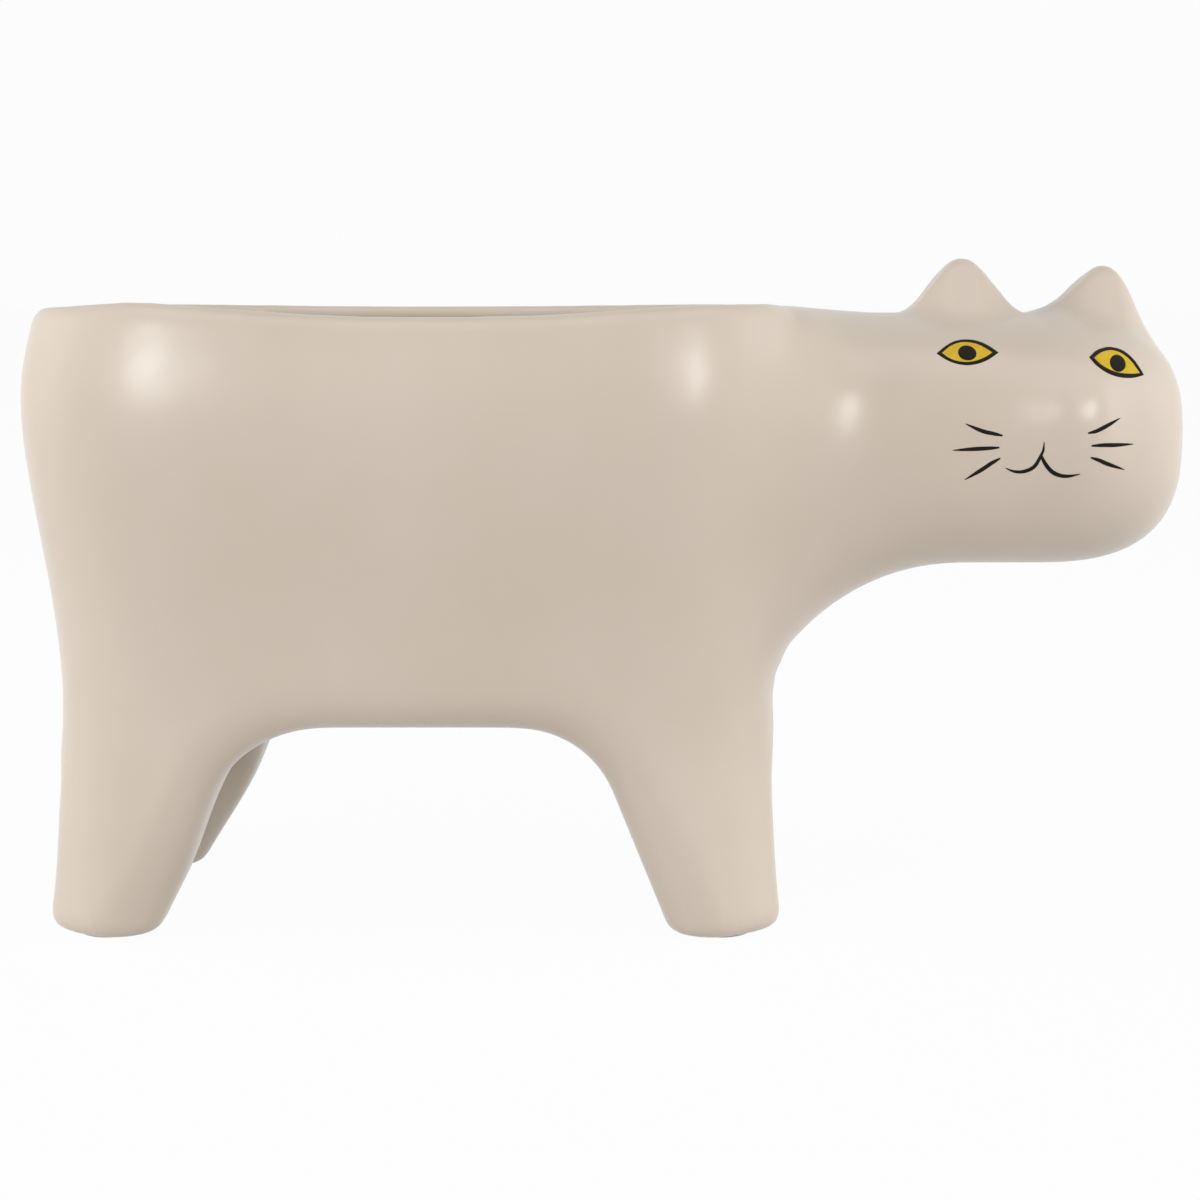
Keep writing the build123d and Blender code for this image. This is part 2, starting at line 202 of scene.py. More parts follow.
# Painted marks in X and Z, mm: smooth lines through these points
MM_PER_M = 1000
RAY_FROM_Y = -0.2
MARK_LIFT = 0.00012
MARK_SINK = 0.0003
LINE_STEPS = 16
EYE_POINTS = 40
OUTLINE_LIFTS = (0.4, 0.9, 1, 0.9, 0.6)
IRIS_LIFTS = (0.5,) * 9
PUPIL_POINTS = 48
DISC_SHARES = (0.25, 0.5, 0.75, 0.9, 1.0)
DISC_LIFTS = (1, 1, 1, 0.9, 0.4)
STROKE_LIFTS = (0.4, 0.9, 1, 0.9, 0.4)
WHISKER_POINTS = 40
MOUTH_POINTS = 48
EYES = {
    "right": {
        "outer_upper": ((81.0, 144.8), (83.3, 146.5), (85.8, 147.7), (88.5, 148.1), (91.3, 147.8),
                        (93.8, 146.7), (96.0, 145.1)),
        "outer_lower": ((81.0, 144.8), (83.1, 143.4), (85.3, 142.5), (88.1, 142.1), (90.9, 142.5),
                        (93.4, 143.5), (96.0, 145.1)),
        "inner_upper": ((82.3, 144.95), (84.1, 146.3), (86.2, 147.2), (88.4, 147.5), (90.9, 147.1),
                        (93.0, 146.1), (94.5, 145.1)),
        "inner_lower": ((82.3, 144.95), (83.8, 143.85), (85.7, 143.1), (88.1, 142.85), (90.6, 143.25),
                        (92.8, 144.1), (94.5, 145.1)),
        "pupil": ((88.4, 144.95), (2.2, 1.75)),
    },
    "left": {
        "outer_upper": ((117.5, 144.1), (119.7, 145.6), (122.3, 146.3), (124.3, 146.3), (126.9, 145.5),
                        (129.2, 143.6), (130.8, 141.3), (131.7, 139.6)),
        "outer_lower": ((117.5, 144.1), (119.0, 142.2), (121.4, 140.5), (124.0, 139.5), (126.4, 139.1),
                        (129.1, 139.1), (131.7, 139.6)),
        "inner_upper": ((118.7, 144.0), (120.6, 145.05), (122.7, 145.6), (124.4, 145.55), (126.5, 144.75),
                        (128.5, 143.1), (129.8, 141.3), (130.6, 140.1)),
        "inner_lower": ((118.7, 144.0), (120.0, 142.6), (121.8, 141.45), (124.1, 140.55), (126.5, 140.15),
                        (128.8, 140.0), (130.6, 140.1)),
        "pupil": ((124.8, 142.55), (2.15, 2.0)),
    },
}
WHISKERS = {
    "right_upper_whisker": ((96.3, 125.3), (94.0, 125.8), (91.4, 126.4), (87.4, 128.1)),
    "right_middle_whisker": ((95.6, 122.4), (93.0, 122.2), (89.9, 122.0), (84.5, 121.6)),
    "right_lower_whisker": ((95.9, 119.8), (93.9, 118.6), (91.6, 117.0), (87.5, 114.4)),
    "left_upper_whisker": ((116.3, 126.2), (118.4, 126.7), (120.6, 127.7), (124.6, 129.6)),
    "left_middle_whisker": ((117.3, 123.1), (120.3, 123.2), (123.3, 123.1), (128.5, 123.1)),
    "left_lower_whisker": ((117.3, 120.2), (119.5, 119.5), (121.8, 118.5), (126.4, 116.9)),
}
WHISKER_WIDTHS = (0.38, 0.84, 0.98, 1.00, 0.86, 0.58, 0.16)
MOUTH_STROKES = (
    (((105.4, 120.6), (105.9, 122.0), (106.0, 124.0)),
     (0.70, 0.62, 0.50, 0.34, 0.14)),
    (((105.4, 120.6), (104.3, 118.3), (102.9, 117.1), (100.9, 116.5), (98.9, 116.7), (97.3, 117.4)),
     (0.70, 0.88, 0.92, 0.72, 0.22)),
    (((105.4, 120.6), (106.6, 118.5), (108.2, 116.7), (110.1, 115.8), (112.2, 115.6), (115.0, 116.1)),
     (0.70, 0.96, 1.04, 0.82, 0.20)),
)

# Looks: colours as shown, 0 to 255. A clouding has a scale and a detail, a span the ends of its ramp,
# and a bump a strength and a distance.
GLAZE_TONES = ((198, 184, 169), (207, 194, 180))
GLAZE_CLOUDING = (14.0, 3.0)
GLAZE_SPAN = (0.30, 0.75)
GLAZE_GLOSS = (40.0, 2.0)
GLAZE_ROUGHNESS = (0.277, 0.305)
GLAZE_RIPPLE = (55.0, 1.0)
GLAZE_BUMP = (0.10, 0.0006)
BLACK_TONES = ((20, 16, 11), (28, 23, 17))
BLACK_ROUGHNESS = 0.5
YELLOW_TONES = ((203, 168, 46), (213, 180, 58))
YELLOW_ROUGHNESS = 0.38
ENAMEL_CLOUDING = (500.0, 3.0)
ENAMEL_SPAN = (0.35, 0.7)
ENAMEL_SPECULAR = 0.1
PAD_TONES = ((176, 174, 168), (188, 186, 181))
PAD_ROUGHNESS = 0.55
PLUG_TONES = ((92, 92, 94), (104, 104, 106))
PLUG_ROUGHNESS = 0.5
SILICONE_CLOUDING = (220.0, 4.0)
SILICONE_SPAN = (0.3, 0.7)
SILICONE_BUMP = (0.15, 0.0002)

# White studio, and its softboxes: place, target, width, height, power in W, whether the glaze mirrors it
WHITE = (1, 1, 1, 1)
FLOOR_HALF_SIZE = 6
FLOOR_GREY = 0.72
FLOOR_WHITE_SHARE = 0.965
WORLD_LIGHT = 0.195
WORLD_WHITE = 0.977
SOFTBOXES = {
    "left_softbox": ((-0.75, -1.25, 0.45), (-0.05, 0, 0.10), 0.16, 0.50, 5.9, True),
    "right_softbox": ((0.75, -1.25, 0.45), (0.05, 0, 0.10), 0.14, 0.50, 4.9, True),
    "top_softbox": ((0.0, -0.55, 1.4), (0, 0, 0.1), 1.8, 1.2, 6.4, True),
    "left_side_softbox": ((-1.2, 0.0, 0.30), (-0.10, 0, 0.08), 0.9, 1.0, 10.5, False),
    "right_side_softbox": ((1.2, 0.0, 0.30), (0.10, 0, 0.08), 0.9, 1.0, 11.0, False),
}


def new_object(name, data):
    obj = bpy.data.objects.new(name, data)
    scene.collection.objects.link(obj)
    return obj


def set_material(obj, mat):
    obj.data.materials.clear()
    obj.data.materials.append(mat)


def shade_smooth(mesh):
    mesh.polygons.foreach_set("use_smooth", [True] * len(mesh.polygons))
    mesh.update()


def make_camera():
    data = bpy.data.cameras.new("camera")
    data.sensor_width = SENSOR_MM
    data.lens = FOCAL_PX / FRAME_PX * SENSOR_MM
    data.clip_start = CAMERA_NEAR
    data.clip_end = CAMERA_FAR
    cam = new_object("camera", data)
    cam.location = CAMERA_PLACE
    cam.rotation_euler = (math.pi / 2 - PITCH_DOWN, 0, 0)
    scene.camera = cam


def vectors_of(mesh, kind):
    """The places or the directions of a mesh's points, by Blender's short names for them."""
    flat = np.empty(len(mesh.vertices) * 3)
    mesh.vertices.foreach_get(kind, flat)
    return flat.reshape(-1, 3)


def put_coords(mesh, coords):
    mesh.vertices.foreach_set("co", coords.ravel())
    mesh.update()


def edge_pairs(mesh):
    flat = np.empty(len(mesh.edges) * 2, dtype=np.int64)
    mesh.edges.foreach_get("vertices", flat)
    return flat.reshape(-1, 2)


def mesh_tree(mesh):
    return BVHTree.FromPolygons([v.co for v in mesh.vertices], [p.vertices for p in mesh.polygons])


def smooth_share(share):
    share = np.clip(share, 0, 1)
    return share * share * (3 - 2 * share)


def share_between(values, start, end):
    """Smooth share from 0 at the start to 1 at the end."""
    return smooth_share((values - start) / (end - start))


def on_curve(x, points):
    """The amount at X on straight lines between points, each an X with its amount."""
    places, amounts = zip(*points)
    return np.interp(x, places, amounts)


def ball_weight(coords, place, reach):
    """Share by which each point belongs to a ball, 1 at its middle."""
    return smooth_share(1 - np.linalg.norm(coords - np.array(place), axis=1) / reach)


def relax(coords, pairs, rounds, share_in, share_out, weight=None):
    """Evens a mesh out; a second pass outwards keeps its size."""
    count = len(coords)
    ends = np.concatenate([pairs[:, 0], pairs[:, 1]])
    others = np.concatenate([pairs[:, 1], pairs[:, 0]])
    degree = np.bincount(ends, minlength=count)[:, None]
    for _ in range(rounds):
        for share in (share_in, share_out):
            if share == 0:
                continue
            mean = np.empty_like(coords)
            for k in range(3):
                mean[:, k] = np.bincount(ends, weights=coords[others, k], minlength=count)
            step = share * (mean / degree - coords)
            coords = coords + (step if weight is None else step * weight[:, None])
    return coords


def weighted_part(pairs, weight):
    """The points that the weight reaches with their neighbours, and the edges between them."""
    near = (weight[pairs] > 0).any(axis=1)
    spots, links = np.unique(pairs[near], return_inverse=True)
    return spots, links.reshape(-1, 2)


def fill_hollows(mesh, coords, pairs, weight, rounds):
    """Fills grooves outwards where the weight allows, and leaves every rounded form as it is."""
    spots, links = weighted_part(pairs, weight)
    even = relax(coords[spots], links, rounds, RELAX_IN, 0, weight[spots])
    put_coords(mesh, coords)
    normals = vectors_of(mesh, "normal")[spots]
    rise = np.maximum(0, ((even - coords[spots]) * normals).sum(axis=1))
    coords = coords.copy()
    coords[spots] += normals * rise[:, None]
    coords[spots] = relax(coords[spots], links, SETTLE_ROUNDS, RELAX_IN, RELAX_OUT, weight[spots])
    return coords


def soften(coords, pairs, place, reach, rounds):
    """Evens a small place out, bumps and hollows alike."""
    weight = ball_weight(coords, place, reach)
    spots, links = weighted_part(pairs, weight)
    coords = coords.copy()
    coords[spots] = relax(coords[spots], links, rounds, RELAX_IN, 0, weight[spots])
    return coords


def ease(coords, pairs, middle, spread, rounds, steepness=EASE_STEEPNESS, share=1.0):
    """Evens a longer place out. One whose middle lies on the left is evened on the right as well."""
    side = coords[:, 1] if middle[1] <= 0 else np.abs(coords[:, 1])
    spots = np.column_stack([coords[:, 0], side, coords[:, 2]])
    away = np.linalg.norm((spots - np.array(middle)) / np.array(spread), axis=1)
    return relax(coords, pairs, rounds, RELAX_IN, 0, smooth_share((1 - away) * steepness) * share)


def seen_from(mesh, coords, spots, ways):
    """Those points of the outer skin from which nothing stands in the way."""
    tree = mesh_tree(mesh)
    starts = coords + vectors_of(mesh, "normal") * SEEN_OFF
    return [i for i in spots if tree.ray_cast(Vector(starts[i]), Vector(ways[i]))[0] is None]


def seam_weight(coords):
    """Share by which each point belongs to the run of the neck into the trough."""
    body_tree, head_tree = (mesh_tree(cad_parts[name].data) for name in ("planter_body", "head"))
    seam = []
    for co in coords:
        if not SEAM_FOUND_X[0] <= co[0] <= SEAM_FOUND_X[1]:
            continue
        on_body = body_tree.find_nearest(co, SEAM_NEAR)[0]
        if on_body is not None and head_tree.find_nearest(co, SEAM_NEAR)[0] is not None:
            seam.append(co)
    tree = KDTree(len(seam))
    for i, co in enumerate(seam):
        tree.insert(co, i)
    tree.balance()
    weight = np.zeros(len(coords))
    for i, co in enumerate(coords):
        if SEAM_EASED_X[0] < co[0] < SEAM_EASED_X[1]:
            weight[i] = 1 - tree.find(co)[2] / SEAM_REACH
    return smooth_share(weight)


def widen_neck(mesh, coords):
    """Carries the neck out to the corners of the trough in one sweep."""
    put_coords(mesh, coords)
    x, y, z = coords.T
    rise = np.clip((z - WAIST_HEIGHT) / (BULGE_HEIGHT - WAIST_HEIGHT), 0, 1)
    drawn = np.cos(math.pi / 2 * rise) ** WAIST_POWER
    lean = TOP_LEAN * (np.clip(z - BULGE_HEIGHT, 0, 1) / (RIM_HEIGHT - BULGE_HEIGHT)) ** 2
    from_front = x + FRONT_WAIST_INSET * drawn + lean
    chest = np.clip(CHEST_END_X - x, 0, 1) / (CHEST_END_X - CHEST_X)
    low = HEAD_LOW - CHEST_DROP * chest ** CHEST_POWER
    height = (z - (CROWN_HEIGHT + low) / 2) / ((CROWN_HEIGHT - low) / 2)
    places, half_widths, upper_powers, lower_powers = zip(*NECK_SECTIONS)
    upper = np.interp(from_front, places, upper_powers)
    lower = np.interp(from_front, places, lower_powers)
    power = np.where(height > 0, upper, lower)
    section = np.clip(1 - np.abs(height) ** power, 0, 1) ** (1 / power)
    shift = np.interp(from_front, (places[0], SEAM_SHIFT_END), (1, 0))
    drawn_in = shift * (SIDE_WAIST_INSET * drawn + lean)
    wanted = (np.interp(from_front, places, half_widths) - drawn_in) * section
    inside = (np.abs(y) > NECK_CORE * wanted) & (np.abs(y) < wanted)
    here = (from_front > places[0]) & (x < places[-1]) & inside
    sideways = np.column_stack([np.zeros_like(y), np.sign(y), np.zeros_like(y)])
    open_spots = seen_from(mesh, coords, np.nonzero(here)[0], sideways)
    coords = coords.copy()
    coords[open_spots, 1] = (np.sign(y) * wanted)[open_spots]
    return coords


def lean_ears(mesh, coords):
    """Runs the front and back of each ear down into the forehead in one soft slope."""
    put_coords(mesh, coords)
    upward = vectors_of(mesh, "normal")[:, 2] > EAR_UPWARD
    x, y, z = coords.T
    bins = np.arange(EAR_X[0] - EAR_BIN_MARGIN, EAR_X[1] + EAR_BIN_MARGIN, EAR_BIN)
    top = upward & (np.abs(y - EAR_Y) < EAR_RIDGE) & (z > EAR_LOW)
    ridge = np.array([z[top & (np.abs(x - b) < EAR_BIN_HALF)].max(initial=0) for b in bins])
    ridge = np.interp(x, bins[ridge > 0], ridge[ridge > 0])
    reach = np.clip((x - HEAD_WIDE_X) / HEAD_DOME, 0, HEAD_DOME_END)
    cheek = np.clip((x - NECK_X) / (CHEEK_X - NECK_X), 0, 1)
    half_width = NECK_HALF_WIDTH + (HEAD_HALF_WIDTH - NECK_HALF_WIDTH) * (1 - np.cos(math.pi * cheek)) / 2
    half_width *= (1 - reach ** PLAN_POWER) ** (1 / PLAN_POWER)
    foot_share = (1 - EAR_FOOT_SHARE ** SECTION_POWER) ** (1 / SECTION_POWER)
    foot = HEAD_MIDDLE + HEAD_HALF_HEIGHT * foot_share * (1 - reach ** SIDE_POWER) ** (1 / SIDE_POWER)
    run = EAR_FOOT_SHARE * half_width - np.sign(y - EAR_Y) * EAR_Y - EAR_RIDGE
    away = np.clip((np.abs(y - EAR_Y) - EAR_RIDGE) / np.maximum(run, EAR_LEAST_RUN), 0, 1)
    wanted = ridge + (foot - ridge) * smooth_share(away ** EAR_FALL)
    here = (z > EAR_LOW) & (x > EAR_X[0]) & (x < EAR_X[1]) & (away > 0) & (away < 1) & (z < wanted)
    open_spots = seen_from(mesh, coords, np.nonzero(here)[0], np.tile((0, 0, 1), (len(coords), 1)))
    coords = coords.copy()
    coords[open_spots, 2] = wanted[open_spots]
    return coords


def round_tip(coords, pairs, place):
    """Rounds an ear's tip and lifts it back to its height."""
    coords = soften(coords, pairs, place, TIP_REACH, TIP_ROUNDS)
    weight = ball_weight(coords, place, TIP_REACH)
    coords[:, 2] += weight * (place[2] - coords[weight > 0, 2].max()) / weight.max()
    return coords


def ridge_nose(coords):
    """Raises a faint upright ridge on the left of the nose."""
    x, y, z = coords.T
    along = np.exp(-((x - NOSE_RIDGE_PLACE[0]) / NOSE_RIDGE_SPREAD[0]) ** 2 / 2)
    along *= smooth_share(1 - np.abs(z - NOSE_RIDGE_PLACE[1]) / NOSE_RIDGE_SPREAD[1])
    coords = coords.copy()
    coords[:, 1] -= np.where(y < NOSE_RIDGE_BEFORE_Y, NOSE_RIDGE * along, 0)
    return coords


def bend_leg(coords, side, middle, spread, shift):
    """Curves the inner edge of one hind leg."""
    away = np.linalg.norm((coords[:, [0, 2]] - np.array(middle)) / np.array(spread), axis=1)
    weight = smooth_share(1 - away) * smooth_share(side * coords[:, 1] / LEG_FADE)
    coords = coords.copy()
    coords[:, 0] += shift * weight
    return coords


def shape_top(coords):
    """Lowers the crown, fills the left ear's inner side and gives the rim its uneven height."""
    coords = coords.copy()
    x, y, z = coords.T
    high = share_between(z, *CROWN_FROM) * share_between(z, CROWN_TO[1], CROWN_TO[0])
    coords[:, 2] -= on_curve(x, CROWN_DROPS) * high
    high = share_between(z, *LEFT_EAR_FROM) * smooth_share(1 - np.abs(y - EAR_Y) / LEFT_EAR_HALF_DEPTH)
    coords[:, 2] += on_curve(x, LEFT_EAR_LIFTS) * high
    rise = np.clip((z - RIM_SAG_FROM) / (RIM_HEIGHT - RIM_SAG_FROM), 0, 1)
    along = np.clip(1 - ((x - TROUGH_MIDDLE) / TROUGH_HALF_LENGTH) ** 2, 0, 1)
    side = FAR_RIM_SHARE + (1 - FAR_RIM_SHARE) * smooth_share(0.5 - y / RIM_SIDE_WIDTH)
    coords[:, 2] += (on_curve(x, RIM_LIFTS) * side - RIM_SAG * along) * rise ** 2
    return coords


def join_castings():
    """One evenly meshed object around copies of the trough and the head."""
    mesh = bpy.data.meshes.new("glazed_pot")
    bm = bmesh.new()
    for name in ("planter_body", "head"):
        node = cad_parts[name]
        part = node.data.copy()
        part.transform(node.matrix_world)
        bm.from_mesh(part)
        bpy.data.meshes.remove(part)
    bm.to_mesh(mesh)
    bm.free()
    obj = new_object("glazed_pot", mesh)
    remesh = obj.modifiers.new("remesh", "REMESH")
    remesh.mode = "VOXEL"
    remesh.voxel_size = VOXEL
    depsgraph = bpy.context.evaluated_depsgraph_get()
    even = bpy.data.meshes.new_from_object(obj.evaluated_get(depsgraph))
    obj.modifiers.clear()
    obj.data = even
    bpy.data.meshes.remove(mesh)
    even.name = "glazed_pot"
    return obj


def make_skin():
    """One continuous glazed skin over the trough and the head."""
    obj = join_castings()
    mesh = obj.data
    pairs = edge_pairs(mesh)
    coords = relax(vectors_of(mesh, "co"), pairs, RELAX_ROUNDS, RELAX_IN, RELAX_OUT)
    weight = seam_weight(coords)
    coords = widen_neck(mesh, coords)
    coords = relax(coords, pairs, SEAM_EVEN_ROUNDS, RELAX_IN, RELAX_OUT, weight)
    coords = fill_hollows(mesh, coords, pairs, weight, SEAM_ROUNDS)
    below_rim = share_between(coords[:, 2], FOLD_TOP[1], FOLD_TOP[0])
    coords = ease(coords, pairs, FOLD_MIDDLE, FOLD_SPREAD, FOLD_ROUNDS, share=below_rim)
    coords = lean_ears(mesh, coords)
    coords = ease(coords, pairs, EAR_MIDDLE, EAR_SPREAD, EAR_EVEN_ROUNDS, EAR_STEEPNESS)
    coords = soften(coords, pairs, FLANK_PLACE, FLANK_REACH, FLANK_ROUNDS)
    for place in TIPS:
        coords = round_tip(coords, pairs, place)
    coords = ease(coords, pairs, STEP_MIDDLE, STEP_SPREAD, STEP_ROUNDS)
    coords = ease(coords, pairs, NOSE_MIDDLE, NOSE_SPREAD, NOSE_ROUNDS)
    coords = ridge_nose(coords)
    coords = ease(coords, pairs, BELLY_MIDDLE, BELLY_SPREAD, BELLY_ROUNDS)
    for side, middle, spread, shift in LEG_BENDS:
        coords = bend_leg(coords, side, middle, spread, shift)
    coords = shape_top(coords)
    put_coords(mesh, np.clip(coords, cad_box[0], cad_box[1]))
    shade_smooth(mesh)
    return obj


def along_line(points, count):
    """Evenly spread points on a smooth line through a few points."""
    places = np.array(points, dtype=float)
    ends = np.vstack([2 * places[0] - places[1], places, 2 * places[-1] - places[-2]])
    fine = []
    for i in range(1, len(ends) - 2):
        p0, p1, p2, p3 = ends[i - 1:i + 3]
        for t in np.linspace(0, 1, LINE_STEPS, endpoint=False):
            fine.append(0.5 * (2 * p1 + (p2 - p0) * t + (2 * p0 - 5 * p1 + 4 * p2 - p3) * t * t
                               + (3 * p1 - p0 - 3 * p2 + p3) * t ** 3))
    fine.append(places[-1])
    fine = np.array(fine)
    run = np.concatenate([[0], np.cumsum(np.linalg.norm(np.diff(fine, axis=0), axis=1))])
    wanted = np.linspace(0, run[-1], count)
    return np.column_stack([np.interp(wanted, run, fine[:, k]) for k in range(2)])


def eye_loop(upper, lower):
    """Closed loop of an eye, from the first corner over the top to the second and back below."""
    top = along_line(upper, EYE_POINTS + 1)
    under = along_line(lower, EYE_POINTS + 1)
    return np.vstack([top[:-1], under[:0:-1]])


def oval(centre, radii, turns):
    return centre + np.column_stack([np.cos(turns), np.sin(turns)]) * radii


def rows_between(first, last, count):
    """Rows from one loop to another."""
    return [first + (last - first) * share for share in np.linspace(0, 1, count)]


def stroke_rows(points, widths, count):
    """Rows along a brush stroke, as far apart as the brush was wide there."""
    line = along_line(points, count)
    slope = np.gradient(line, axis=0)
    slope /= np.linalg.norm(slope, axis=1)[:, None]
    side = np.column_stack([-slope[:, 1], slope[:, 0]])
    width = np.interp(np.linspace(0, 1, count), np.linspace(0, 1, len(widths)), widths)
    return [line + side * (width * share / 2)[:, None] for share in np.linspace(-1, 1, len(STROKE_LIFTS))]


def lay_on(tree, place):
    """The point of the skin behind a place in X and Z, with the skin's direction there."""
    start = Vector((place[0] / MM_PER_M, RAY_FROM_Y, place[1] / MM_PER_M))
    hit, normal, _, _ = tree.ray_cast(start, Vector((0, 1, 0)))
    return np.array(hit), np.array(normal)


def add_coat(bm, tree, rows, lifts):
    """Points over and under the skin for a thin coat of enamel, row by row."""
    upper, lower = [], []
    for row, lift in zip(rows, lifts):
        spots = [lay_on(tree, place) for place in row]
        upper.append([bm.verts.new(p + n * MARK_LIFT * lift) for p, n in spots])
        lower.append([bm.verts.new(p - n * MARK_SINK) for p, n in spots])
    return upper, lower


def add_shell(bm, tree, rows, closed, lifts):
    """A thin coat of enamel laid on the skin over a grid of places."""
    upper, lower = add_coat(bm, tree, rows, lifts)
    count = len(rows[0])
    steps = count if closed else count - 1
    for j in range(len(rows) - 1):
        for i in range(steps):
            k = (i + 1) % count
            bm.faces.new((upper[j][i], upper[j][k], upper[j + 1][k], upper[j + 1][i]))
            bm.faces.new((lower[j + 1][i], lower[j + 1][k], lower[j][k], lower[j][i]))
    for i in range(steps):
        k = (i + 1) % count
        bm.faces.new((upper[0][k], upper[0][i], lower[0][i], lower[0][k]))
        bm.faces.new((upper[-1][i], upper[-1][k], lower[-1][k], lower[-1][i]))
    if not closed:
        for j in range(len(rows) - 1):
            bm.faces.new((upper[j][0], upper[j + 1][0], lower[j + 1][0], lower[j][0]))
            bm.faces.new((upper[j + 1][-1], upper[j][-1], lower[j][-1], lower[j + 1][-1]))


def add_disc(bm, tree, centre, loop):
    """A closed coat over the inside of a loop."""
    rows = [centre + (loop - centre) * share for share in DISC_SHARES]
    upper, lower = add_coat(bm, tree, rows, DISC_LIFTS)
    place, normal = lay_on(tree, centre)
    top = bm.verts.new(place + normal * MARK_LIFT)
    under = bm.verts.new(place - normal * MARK_SINK)
    count = len(loop)
    for i in range(count):
        k = (i + 1) % count
        bm.faces.new((top, upper[0][i], upper[0][k]))
        bm.faces.new((under, lower[0][k], lower[0][i]))
        for j in range(len(rows) - 1):
            bm.faces.new((upper[j][i], upper[j + 1][i], upper[j + 1][k], upper[j][k]))
            bm.faces.new((lower[j][k], lower[j + 1][k], lower[j + 1][i], lower[j][i]))
        bm.faces.new((upper[-1][i], lower[-1][i], lower[-1][k], upper[-1][k]))


def finish_mark(bm, node, mat):
    bmesh.ops.recalc_face_normals(bm, faces=bm.faces)
    mesh = bpy.data.meshes.new(node + "_paint")
    bm.to_mesh(mesh)
    bm.free()
    shade_smooth(mesh)
    obj = new_object(node + "_paint", mesh)
    set_material(obj, mat)
    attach(obj, "planter")
    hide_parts(node)


def make_marks(skin, black, yellow):
    """Eyes, whiskers and mouth, each painted on the skin."""
    tree = BVHTree.FromObject(skin, bpy.context.evaluated_depsgraph_get())
    for side, eye in EYES.items():
        outer = eye_loop(eye["outer_upper"], eye["outer_lower"])
        inner = eye_loop(eye["inner_upper"], eye["inner_lower"])
        centre, radii = (np.array(v) for v in eye["pupil"])
        bm = bmesh.new()
        add_shell(bm, tree, rows_between(outer, inner, len(OUTLINE_LIFTS)), True, OUTLINE_LIFTS)
        finish_mark(bm, side + "_eye_outline", black)
        bm = bmesh.new()
        pupil = oval(centre, radii, np.arctan2(inner[:, 1] - centre[1], inner[:, 0] - centre[0]))
        add_shell(bm, tree, rows_between(inner, pupil, len(IRIS_LIFTS)), True, IRIS_LIFTS)
        finish_mark(bm, side + "_eye_iris", yellow)
        bm = bmesh.new()
        even_turns = np.linspace(0, 2 * math.pi, PUPIL_POINTS, endpoint=False)
        add_disc(bm, tree, centre, oval(centre, radii, even_turns))
        finish_mark(bm, side + "_eye_pupil", black)
    for name, line in WHISKERS.items():
        bm = bmesh.new()
        add_shell(bm, tree, stroke_rows(line, WHISKER_WIDTHS, WHISKER_POINTS), False, STROKE_LIFTS)
        finish_mark(bm, name, black)
    bm = bmesh.new()
    for line, widths in MOUTH_STROKES:
        add_shell(bm, tree, stroke_rows(line, widths, MOUTH_POINTS), False, STROKE_LIFTS)
    finish_mark(bm, "mouth", black)


def socket(node, name, value):
    node.inputs[name].default_value = value


def linear(tone):
    """A colour as shown, 0 to 255, as the linear values that sockets take."""
    out = []
    for v in tone:
        v /= 255
        out.append(v / 12.92 if v <= 0.04045 else ((v + 0.055) / 1.055) ** 2.4)
    return (*out, 1.0)


def add_noise(nodes, links, place, scale, detail):
    noise = nodes.new("ShaderNodeTexNoise")
    socket(noise, "Scale", scale)
    socket(noise, "Detail", detail)
    links.new(place.outputs["Object"], noise.inputs["Vector"])
    return noise


def add_bump(nodes, links, noise, shader, strength, distance):
    bump = nodes.new("ShaderNodeBump")
    socket(bump, "Strength", strength)
    socket(bump, "Distance", distance)
    links.new(noise.outputs["Fac"], bump.inputs["Height"])
    links.new(bump.outputs["Normal"], shader.inputs["Normal"])


def clouded_material(name, tones, clouding, span):
    """A material whose colour drifts softly between two tones, with the parts that others build on."""
    mat = bpy.data.materials.new(name)
    mat.use_nodes = True
    nodes = mat.node_tree.nodes
    links = mat.node_tree.links
    shader = nodes["Principled BSDF"]
    place = nodes.new("ShaderNodeTexCoord")
    cloud = add_noise(nodes, links, place, *clouding)
    ramp = nodes.new("ShaderNodeValToRGB")
    for element, position, tone in zip(ramp.color_ramp.elements, span, tones):
        element.position = position
        element.color = linear(tone)
    links.new(cloud.outputs["Fac"], ramp.inputs["Fac"])
    links.new(ramp.outputs["Color"], shader.inputs["Base Color"])
    return mat, shader, place, cloud


def glaze_material():
    mat, shader, place, _ = clouded_material("warm_grey_glaze", GLAZE_TONES, GLAZE_CLOUDING, GLAZE_SPAN)
    nodes = mat.node_tree.nodes
    links = mat.node_tree.links
    gloss = add_noise(nodes, links, place, *GLAZE_GLOSS)
    rough = nodes.new("ShaderNodeMapRange")
    socket(rough, "To Min", GLAZE_ROUGHNESS[0])
    socket(rough, "To Max", GLAZE_ROUGHNESS[1])
    links.new(gloss.outputs["Fac"], rough.inputs["Value"])
    links.new(rough.outputs["Result"], shader.inputs["Roughness"])
    ripple = add_noise(nodes, links, place, *GLAZE_RIPPLE)
    ripple.normalize = False
    add_bump(nodes, links, ripple, shader, *GLAZE_BUMP)
    return mat


def enamel_material(name, tones, roughness):
    mat, shader, _, _ = clouded_material(name, tones, ENAMEL_CLOUDING, ENAMEL_SPAN)
    socket(shader, "Roughness", roughness)
    socket(shader, "Specular IOR Level", ENAMEL_SPECULAR)
    return mat


def silicone_material(name, tones, roughness):
    mat, shader, _, cloud = clouded_material(name, tones, SILICONE_CLOUDING, SILICONE_SPAN)
    socket(shader, "Roughness", roughness)
    add_bump(mat.node_tree.nodes, mat.node_tree.links, cloud, shader, *SILICONE_BUMP)
    return mat


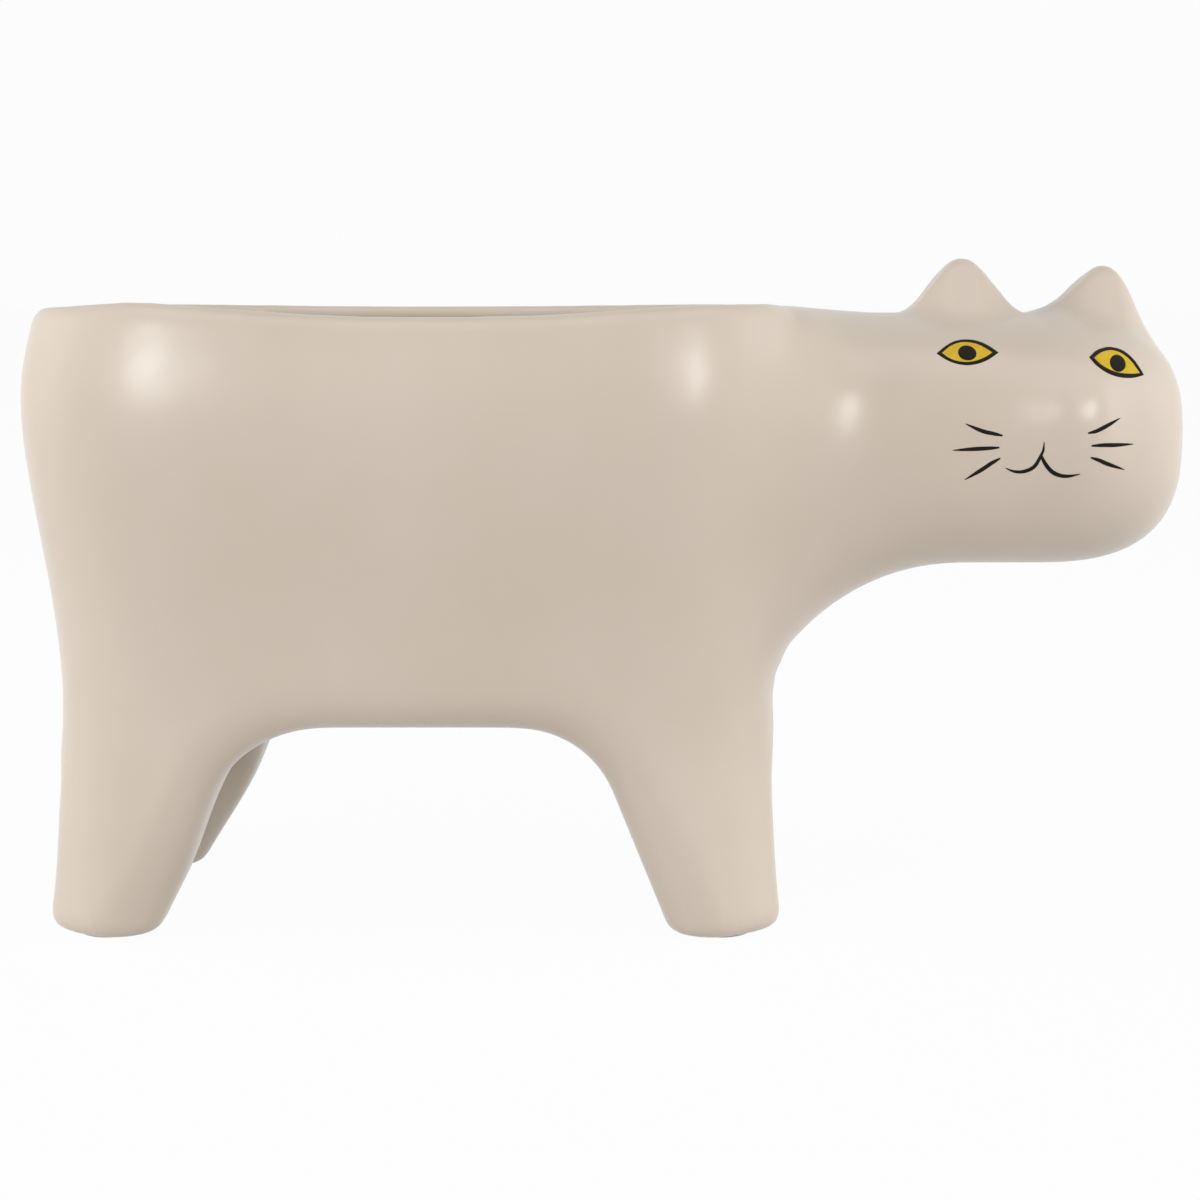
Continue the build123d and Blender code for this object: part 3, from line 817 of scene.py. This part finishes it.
def seen_or_mirrored(nodes, links):
    """1 for rays from the camera and from glossy surfaces, which meet a white studio, and 0 for the rest."""
    path = nodes.new("ShaderNodeLightPath")
    either = nodes.new("ShaderNodeMath")
    either.operation = "MAXIMUM"
    links.new(path.outputs["Is Camera Ray"], either.inputs[0])
    links.new(path.outputs["Is Glossy Ray"], either.inputs[1])
    return either.outputs[0]


def floor_material():
    mat = bpy.data.materials.new("floor_white")
    mat.use_nodes = True
    nodes = mat.node_tree.nodes
    links = mat.node_tree.links
    nodes.clear()
    out = nodes.new("ShaderNodeOutputMaterial")
    diffuse = nodes.new("ShaderNodeBsdfDiffuse")
    socket(diffuse, "Color", (FLOOR_GREY, FLOOR_GREY, FLOOR_GREY, 1))
    glow = nodes.new("ShaderNodeEmission")
    socket(glow, "Color", WHITE)
    socket(glow, "Strength", 1.0)
    share = nodes.new("ShaderNodeMath")
    share.operation = "MULTIPLY"
    socket(share, 1, FLOOR_WHITE_SHARE)
    links.new(seen_or_mirrored(nodes, links), share.inputs[0])
    mix = nodes.new("ShaderNodeMixShader")
    links.new(share.outputs[0], mix.inputs[0])
    links.new(diffuse.outputs[0], mix.inputs[1])
    links.new(glow.outputs[0], mix.inputs[2])
    links.new(mix.outputs[0], out.inputs["Surface"])
    return mat


def make_world():
    world = bpy.data.worlds.new("studio")
    scene.world = world
    world.use_nodes = True
    nodes = world.node_tree.nodes
    links = world.node_tree.links
    back = nodes["Background"]
    level = nodes.new("ShaderNodeMapRange")
    socket(level, "To Min", WORLD_LIGHT)
    socket(level, "To Max", WORLD_WHITE)
    links.new(seen_or_mirrored(nodes, links), level.inputs["Value"])
    links.new(level.outputs["Result"], back.inputs["Strength"])
    socket(back, "Color", WHITE)


def add_softbox(name, place, target, width, height, power, mirrored):
    data = bpy.data.lights.new(name, "AREA")
    data.shape = "RECTANGLE"
    data.size = width
    data.size_y = height
    data.energy = power
    obj = new_object(name, data)
    obj.location = place
    obj.rotation_euler = (Vector(target) - Vector(place)).to_track_quat("-Z", "Y").to_euler()
    obj.visible_glossy = mirrored


def make_stage():
    """White floor and soft studio light."""
    mesh = bpy.data.meshes.new("floor")
    bm = bmesh.new()
    bmesh.ops.create_grid(bm, x_segments=1, y_segments=1, size=FLOOR_HALF_SIZE)
    bm.to_mesh(mesh)
    bm.free()
    floor = new_object("floor", mesh)
    set_material(floor, floor_material())
    make_world()
    for name, softbox in SOFTBOXES.items():
        add_softbox(name, *softbox)


make_camera()
skin = make_skin()
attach(skin, "planter")
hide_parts("planter_body", "head")
set_material(skin, glaze_material())

black = enamel_material("black_enamel", BLACK_TONES, BLACK_ROUGHNESS)
yellow = enamel_material("yellow_enamel", YELLOW_TONES, YELLOW_ROUGHNESS)
pad_mat = silicone_material("clear_silicone", PAD_TONES, PAD_ROUGHNESS)
plug_mat = silicone_material("grey_silicone", PLUG_TONES, PLUG_ROUGHNESS)

make_marks(skin, black, yellow)
for name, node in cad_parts.items():
    if name.endswith("foot_pad"):
        set_material(node, pad_mat)
    elif name == "drain_plug":
        set_material(node, plug_mat)

make_stage()
